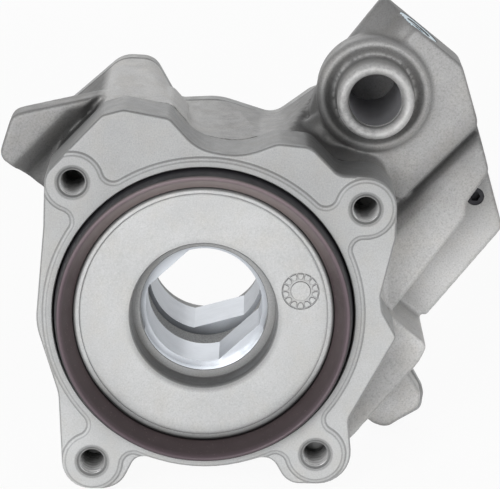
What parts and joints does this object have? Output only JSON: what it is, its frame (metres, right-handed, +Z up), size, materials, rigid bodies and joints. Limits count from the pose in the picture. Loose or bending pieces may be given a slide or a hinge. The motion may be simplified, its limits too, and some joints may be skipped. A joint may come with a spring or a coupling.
{
  "type": "engine oil pump",
  "caption": "Crank-driven tandem gerotor oil pump in a cast body, with a face-sealed front cover, an outlet snout and a relief valve.",
  "frame": {"origin": "crank axis, on the machined mounting face", "axes": "+Y along the crank axis into the pump, away from the mounting face; +Z up; +X towards the outlet side"},
  "size_m": [0.1098, 0.0649, 0.1025],
  "materials": {
    "front_casting": "as-cast die-cast aluminium, fine grain, machined lands",
    "body_casting": "as-cast die-cast aluminium, fine grain, faint brown tone",
    "rear_casting": "as-cast die-cast aluminium",
    "seal_elastomer": "moulded brown elastomer, satin",
    "o_ring_elastomer": "black O-ring elastomer",
    "rotor_steel": "sintered and ground steel",
    "plate_steel": "ground steel",
    "valve_steel": "ground steel",
    "plug_steel": "zinc-plated steel, pale blue",
    "seal_copper": "soft copper ring",
    "dark_steel": "dark oxide steel"
  },
  "bodies": {
    "housing": {"front_cover": "front_casting", "face_seal": "seal_elastomer", "pump_body": "body_casting", "separator_plate": "plate_steel", "rear_cover": "rear_casting", "relief_spring": "valve_steel", "relief_plug": "plug_steel", "plug_seal": "seal_copper", "passage_plug": "dark_steel", "pilot_seal": "o_ring_elastomer", "cover_seal": "o_ring_elastomer", "front_dowels": "valve_steel", "rear_dowels": "valve_steel", "assembly_screws": "dark_steel", "cover_screws": "dark_steel"},
    "feed_inner": {"feed_inner_rotor": "rotor_steel"},
    "feed_outer": {"feed_outer_rotor": "rotor_steel"},
    "scavenge_inner": {"scavenge_inner_rotor": "rotor_steel"},
    "scavenge_outer": {"scavenge_outer_rotor": "rotor_steel"},
    "plunger": {"relief_plunger": "valve_steel"}
  },
  "joints": [
    {"name": "feed_inner_spin", "type": "hinge", "parent": "housing", "child": "feed_inner", "pos_m": [0, 0.0155, 0], "axis": [0, 1, 0], "continuous": true},
    {"name": "feed_outer_spin", "type": "hinge", "parent": "housing", "child": "feed_outer", "pos_m": [0.0016, 0.0155, 0], "axis": [0, 1, 0], "continuous": true},
    {"name": "scavenge_inner_spin", "type": "hinge", "parent": "housing", "child": "scavenge_inner", "pos_m": [0, 0.0427, 0], "axis": [0, 1, 0], "continuous": true},
    {"name": "scavenge_outer_spin", "type": "hinge", "parent": "housing", "child": "scavenge_outer", "pos_m": [0.0016, 0.0427, 0], "axis": [0, 1, 0], "continuous": true},
    {"name": "relief_lift", "type": "slide", "parent": "housing", "child": "plunger", "axis": [0.6347, 0, 0.7727], "range_m": [0, 0.0018], "stiffness_N_per_m": 1500, "springref_m": -0.002, "deforming": ["relief_spring"]}
  ],
  "couplings": [
    {"joint": "feed_outer_spin", "follows": "feed_inner_spin", "ratio": 0.88889},
    {"joint": "scavenge_outer_spin", "follows": "scavenge_inner_spin", "ratio": 0.88889}
  ]
}
